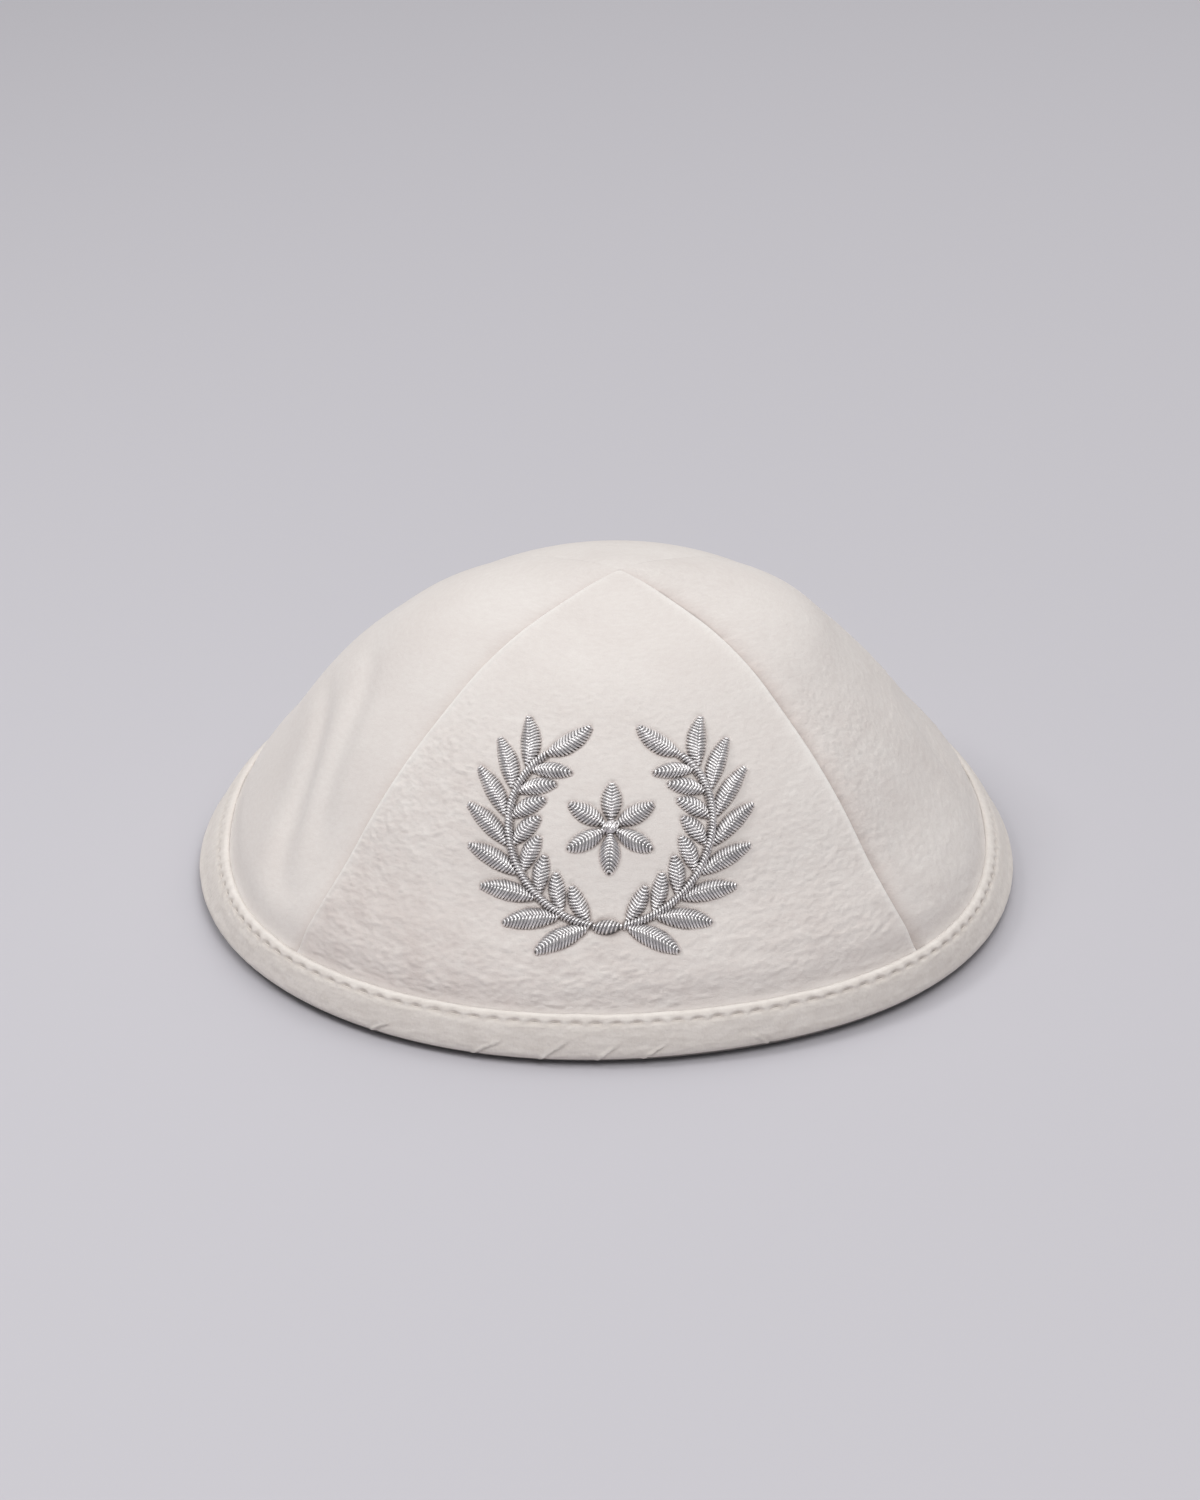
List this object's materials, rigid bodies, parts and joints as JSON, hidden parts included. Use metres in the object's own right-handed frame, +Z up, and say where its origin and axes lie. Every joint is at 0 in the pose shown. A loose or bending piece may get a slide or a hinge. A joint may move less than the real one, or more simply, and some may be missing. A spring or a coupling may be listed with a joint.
{
  "type": "kippah skullcap",
  "caption": "Round domed skullcap of four sewn velour panels with a topstitched bound rim and a raised silver-thread wreath on the front, open underneath.",
  "frame": {"origin": "centre of the rim's outline, on the surface that the cap rests on", "axes": "+Z up through the crown; -Y through the middle of the front panel, which carries the embroidery; +X to the viewer's right when facing the front"},
  "size_m": [0.1678, 0.171, 0.065],
  "materials": {
    "panel_velour": "ivory velour with a short, soft nap, matt with a pale sheen at grazing angles",
    "binding_velour": "ivory velour strip, folded and topstitched, matt",
    "silver_thread": "metallised silver embroidery thread in raised satin stitch, bright along the stitches"
  },
  "bodies": {
    "root": {"leaf_left_end": "silver_thread", "leaf_left_inner_1": "silver_thread", "leaf_left_inner_2": "silver_thread", "leaf_left_inner_3": "silver_thread", "leaf_left_inner_4": "silver_thread", "leaf_left_inner_5": "silver_thread", "leaf_left_inner_6": "silver_thread", "leaf_left_inner_7": "silver_thread", "leaf_left_inner_8": "silver_thread", "leaf_left_outer_1": "silver_thread", "leaf_left_outer_2": "silver_thread", "leaf_left_outer_3": "silver_thread", "leaf_left_outer_4": "silver_thread", "leaf_left_outer_5": "silver_thread", "leaf_left_outer_6": "silver_thread", "leaf_left_outer_7": "silver_thread", "leaf_left_outer_8": "silver_thread", "leaf_right_end": "silver_thread", "leaf_right_inner_1": "silver_thread", "leaf_right_inner_2": "silver_thread", "leaf_right_inner_3": "silver_thread", "leaf_right_inner_4": "silver_thread", "leaf_right_inner_5": "silver_thread", "leaf_right_inner_6": "silver_thread", "leaf_right_inner_7": "silver_thread", "leaf_right_inner_8": "silver_thread", "leaf_right_outer_1": "silver_thread", "leaf_right_outer_2": "silver_thread", "leaf_right_outer_3": "silver_thread", "leaf_right_outer_4": "silver_thread", "leaf_right_outer_5": "silver_thread", "leaf_right_outer_6": "silver_thread", "leaf_right_outer_7": "silver_thread", "leaf_right_outer_8": "silver_thread", "panel_back": "panel_velour", "panel_front": "panel_velour", "panel_left": "panel_velour", "panel_right": "panel_velour", "petal_1": "silver_thread", "petal_2": "silver_thread", "petal_3": "silver_thread", "petal_4": "silver_thread", "petal_5": "silver_thread", "petal_6": "silver_thread", "rim_binding": "binding_velour", "rosette_eye": "silver_thread", "stem_left": "silver_thread", "stem_right": "silver_thread", "wreath_tie": "silver_thread"}
  },
  "joints": []
}
